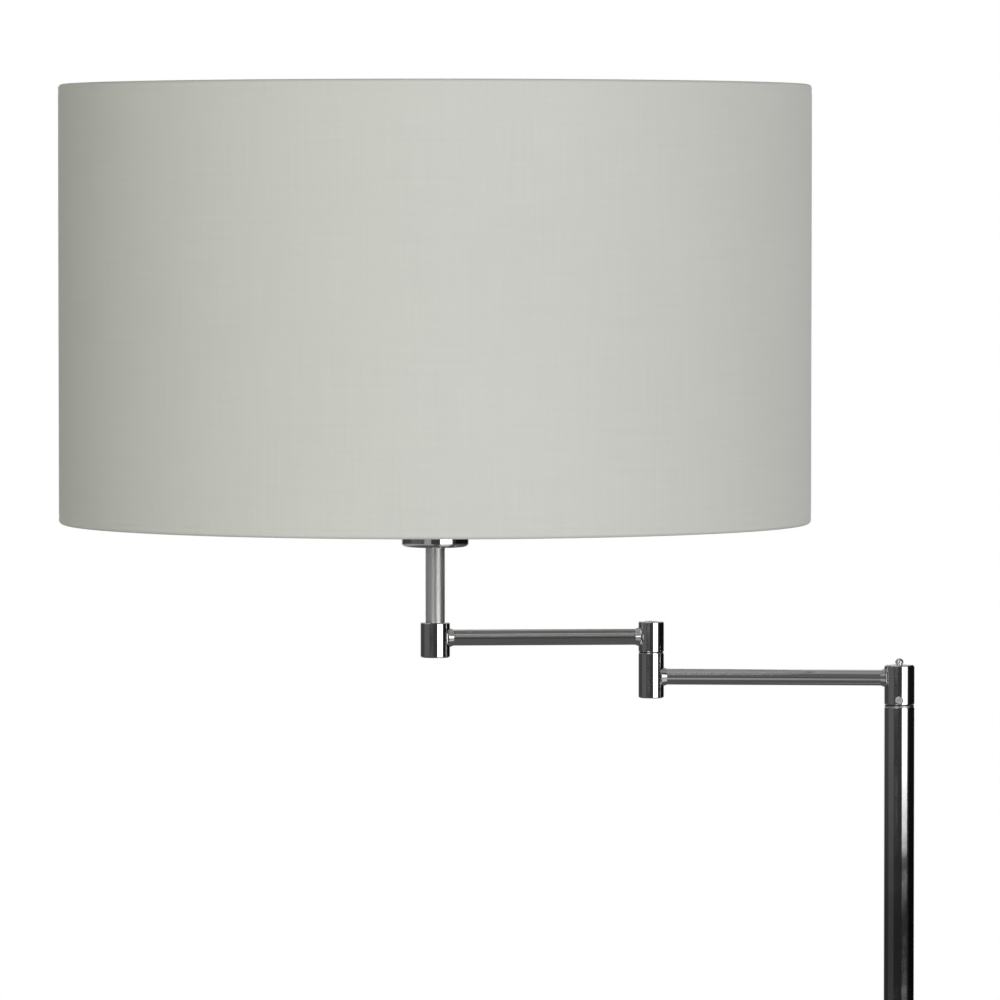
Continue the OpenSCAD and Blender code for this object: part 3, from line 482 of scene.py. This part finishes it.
def threads(coordinate):
    """Ridges of one set of threads, 0 in the gaps and 1 on the crowns."""
    wave = maths(tree, "SINE", maths(tree, "MULTIPLY", coordinate, 2 * math.pi / THREAD_SPACING))
    return maths(tree, "MULTIPLY_ADD", wave, 0.5, 0.5)


def slubs(scale, stretch):
    """Noise along the cloth, drawn out by stretch."""
    place = add(tree, "ShaderNodeMapping", {"Vector": cloth_place, "Scale": stretch}).outputs[0]
    sockets = {"Vector": place, "Scale": scale, "Detail": 3.0, "Roughness": 0.6}
    return add(tree, "ShaderNodeTexNoise", sockets).outputs[0]


upright = slubs(420, (1, 0.035, 1))
level = slubs(420, (0.035, 1, 1))
patches = slubs(9, (1, 1, 1))
weave = maths(tree, "MAXIMUM", threads(across), threads(along))
tone = maths(tree, "ADD", maths(tree, "MULTIPLY", maths(tree, "ADD", upright, level), 0.35),
             maths(tree, "MULTIPLY", patches, 0.3))
colour_from(tree, shader, tone, (0.562, 0.568, 0.519), (0.606, 0.614, 0.559))
roughness_from(tree, shader, upright, 0.82, 0.95)
bumps_from(tree, shader, maths(tree, "ADD", maths(tree, "MULTIPLY", weave, 0.7), upright), 0.00006)
print("linen with threads every", THREAD_SPACING * 1000, "mm")

# %% [markdown]
# ## Dress the frame
# Every piece of the frame brings the name of its finish in its material slots. The stem, the hub's cap and
# the hub's screw are chrome there too, but here they get the brushed kind.

# %% Give every piece its finish
SATIN = ("stem_tube", "hub_cap", "hub_screw")
for name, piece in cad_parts.items():
    for slot in piece.material_slots:
        wanted = slot.material.name.split(".")[0]
        slot.material = finishes["chrome_satin" if name in SATIN else wanted]
print("dressed", len(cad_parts), "pieces in", len(finishes), "finishes")

# %% [markdown]
# ## The shade's cloth
# A drum shade is one long strip of cloth. It is glued round the liner, its two ends lap over each other at
# the back, and each long edge is rolled round a wire and tucked up behind the liner. So the shape is a
# profile carried round a circle. The profile is the cut's short side: up behind the liner, round the lower
# wire, up the outside, round the upper wire, and down behind the liner again. The frame gives its sizes.

# %% Sizes of the shade
wire_low, wire_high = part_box("shade_bottom_wire")
liner_low, liner_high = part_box("shade_liner")
WIRE = wire_high.z - wire_low.z
CLOTH, LINER = 0.0006, 0.0006
centre = (shade_low + shade_high) / 2
outer = (shade_high.x - shade_low.x) / 2 - CLOTH / 2
wire_ring = (wire_high.x - wire_low.x) / 2 - WIRE / 2
liner_inside = outer - CLOTH / 2 - LINER
roll = outer - wire_ring
half_height = (shade_high.z - shade_low.z) / 2
FLAP = 0.014
TUCK_MIDDLE, TUCK_ABOVE_ROLL = 0.009, 0.003
HEM_ABOVE_ARC, HEM_TO, SIDE_FROM = 0.0006, 0.0075, 0.0095  # where the rows of the hem and the side lie
print("shade", round(2 * outer, 4), "m across and", round(2 * half_height, 4), "m high")


# %% [markdown]
# The lower half of the profile is a straight tuck, an arc of 190 degrees about the wire and a straight side.
# The upper half is its mirror image. Where the liner stops short of the wire the cloth sinks by a fifth of
# a millimetre, which draws the fine line that a rolled hem has.

# %% Profile of the cloth
def shade_profile():
    """Radius and height of points across the cut, from the lower tuck's edge to the upper one's.

    The tuck is straight; the roll is wire_ring + roll cos a, roll + roll sin a for a from -190 to 0 degrees;
    the side is straight, less a hollow of depth * exp(-(distance from the hem line / width) squared).
    """
    angle = np.radians(np.linspace(-190, 0, 13))
    behind = liner_inside - CLOTH / 2
    foot = CLOTH / 2 + roll
    tuck_z = np.array([FLAP, TUCK_MIDDLE, 2 * roll + TUCK_ABOVE_ROLL])
    tuck = np.column_stack([np.full(3, behind), tuck_z])
    arc = np.column_stack([wire_ring + roll * np.cos(angle), foot + roll * np.sin(angle)])
    side_z = np.concatenate([np.linspace(foot + HEM_ABOVE_ARC, HEM_TO, 9),
                             np.linspace(SIDE_FROM, half_height, 14)])
    hem_line, depth, width = 2 * roll + 0.0004, 0.0002, 0.0006
    hollow = depth * np.exp(-((side_z - hem_line) / width) ** 2)
    side = np.column_stack([outer - hollow, side_z])
    lower = np.concatenate([tuck, arc, side])
    upper = lower[::-1][1:] * (1, -1) + (0, 2 * half_height)
    return np.concatenate([lower, upper])


profile = shade_profile()
steps = np.linalg.norm(np.diff(profile, axis=0), axis=1)
cut_place = np.concatenate([[0], np.cumsum(steps)])
print("the cut is", round(float(cut_place[-1]), 4), "m from edge to edge")

# %% [markdown]
# Round the circle the strip starts and ends at the back, where its last twelve millimetres lie over its
# first. The lap climbs one thickness of cloth along the profile's own normal, so outside it climbs outwards
# and in the tuck it climbs inwards. Pressed linen is also slightly uneven, a tenth of a millimetre over a
# hand's width. The tuck and the lower roll have a slit at each spoke, and the grid has columns at its edges.

# %% Columns round the shade
LAP = 0.012
SPOKES = 3
SLIT_HALF = 0.0021
EVEN_COLUMNS = 361
BACK = math.pi / 2
LAP_CLIMB = 0.3
lap_angle = LAP / outer
spoke_angles = np.arange(SPOKES) * 2 * math.pi / SPOKES


def strip_columns():
    """Angles from the strip's first end at the back, anticlockwise seen from above.

    They are even steps, with a few more where the lap climbs and at the edges of each slit.
    """
    even = np.linspace(0, 2 * math.pi + lap_angle, EVEN_COLUMNS)
    climb = 2 * math.pi + lap_angle * np.array([-LAP_CLIMB, -LAP_CLIMB / 2, 0.0, 0.5])
    slit_edges = (spoke_angles[:, None] + np.array([-1, 1]) * SLIT_HALF / outer).ravel()
    slit_edges = slit_edges % (2 * math.pi)
    return np.unique(np.round(np.concatenate([even, climb, slit_edges, [SLIT_HALF / outer]]), 7))


columns = strip_columns()
print(len(columns), "columns and", len(profile), "rows")


# %% [markdown]
# The surface itself is one function of two parameters: how far round the circle, and how far across the cut.
# It gives whole arrays at once. The mesh takes the four corners of every cell of the grid, in the order
# that makes its faces look outwards, and leaves out the cells of the slits.

# %% Cloth surface
LAP_GAP = 0.00004
WAVER, WAVER_LEVEL = 0.00006, 0.00012


def smooth_step(value, low, high):
    """0 below low, 1 above high, and 3 t t - 2 t t t in between."""
    t = np.clip((value - low) / (high - low), 0, 1)
    return t * t * (3 - 2 * t)


def cloth_surface(turn_round, line, normal):
    """Points of the cloth: the profile at this turn, plus (lap + waver) along the profile's normal.

    lap is one thickness where the strip lies over its own start; waver is a sum of three sines of small
    whole numbers of turns, so that it closes on itself.
    """
    climb_from = 2 * math.pi - LAP_CLIMB * lap_angle
    lap_height = (CLOTH + LAP_GAP) * smooth_step(turn_round, climb_from, 2 * math.pi)
    across_cut = np.linspace(0, 1, len(line))
    waver = WAVER * (np.sin(5 * turn_round[:, None] + 4 * across_cut)
                     + np.sin(11 * turn_round[:, None] - 7 * across_cut)
                     + np.sin(17 * turn_round[:, None] + 3))
    outside = np.clip(normal[:, 0], 0, 1)
    lift = lap_height[:, None] + (waver + WAVER_LEVEL) * outside * np.sin(math.pi * across_cut) ** 2
    radius = line[:, 0] + lift * normal[:, 0]
    z = line[:, 1] + lift * normal[:, 1]
    angle = BACK + turn_round[:, None]
    return np.stack([centre.x + radius * np.cos(angle), centre.y + radius * np.sin(angle),
                     shade_low.z + z], axis=-1)


along = np.gradient(profile, axis=0)
along /= np.linalg.norm(along, axis=1)[:, None]
profile_normal = np.column_stack([along[:, 1], -along[:, 0]])
points = cloth_surface(columns, profile, profile_normal)
print("outermost point", round(float(np.hypot(points[..., 0] - centre.x, points[..., 1]).max()), 5), "m out")

# %% Cloth mesh
def grid_faces(rows, cols):
    """Corner numbers of every cell of a grid of rows by cols points, columns changing fastest."""
    corner = np.arange(rows * cols).reshape(rows, cols)
    return np.stack([corner[:-1, :-1], corner[1:, :-1], corner[1:, 1:], corner[:-1, 1:]], axis=-1)


cells = grid_faces(len(columns), len(profile))
cell_turn = (columns[:-1] + columns[1:]) / 2
from_spoke = np.abs((cell_turn[:, None] - spoke_angles + math.pi) % (2 * math.pi) - math.pi).min(axis=1)
cell_row = (profile[:-1] + profile[1:]) / 2
inner_and_low = (cell_row[:, 0] < wire_ring) & (cell_row[:, 1] < FLAP) & (cell_row[:, 1] > CLOTH / 2 + roll)
slit = (from_spoke < SLIT_HALF / outer)[:, None] & inner_and_low[None, :]
cloth_mesh = bpy.data.meshes.new("shade_cloth")
cloth_mesh.from_pydata(points.reshape(-1, 3).tolist(), [], cells[~slit].tolist())
cut_uv = np.stack(np.broadcast_arrays(columns[:, None] * outer, cut_place[None, :]), axis=-1).reshape(-1, 2)
corners = np.empty(len(cloth_mesh.loops), dtype=np.int32)
cloth_mesh.loops.foreach_get("vertex_index", corners)
cloth_mesh.uv_layers.new(name="cut").data.foreach_set("uv", cut_uv[corners].ravel())
cloth_mesh.polygons.foreach_set("use_smooth", np.ones(len(cloth_mesh.polygons), dtype=bool))
cloth_mesh.materials.append(finishes["shade_fabric"])
cloth_mesh.update()
print(len(cloth_mesh.polygons), "faces of cloth")

# %% The cloth as a piece
shade_cloth = bpy.data.objects.new("shade_cloth", cloth_mesh)
bpy.context.scene.collection.objects.link(shade_cloth)
thicken = shade_cloth.modifiers.new("thickness", "SOLIDIFY")
thicken.thickness = CLOTH
thicken.offset = 0
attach(shade_cloth, "upper_arm")
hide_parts("shade_fabric")
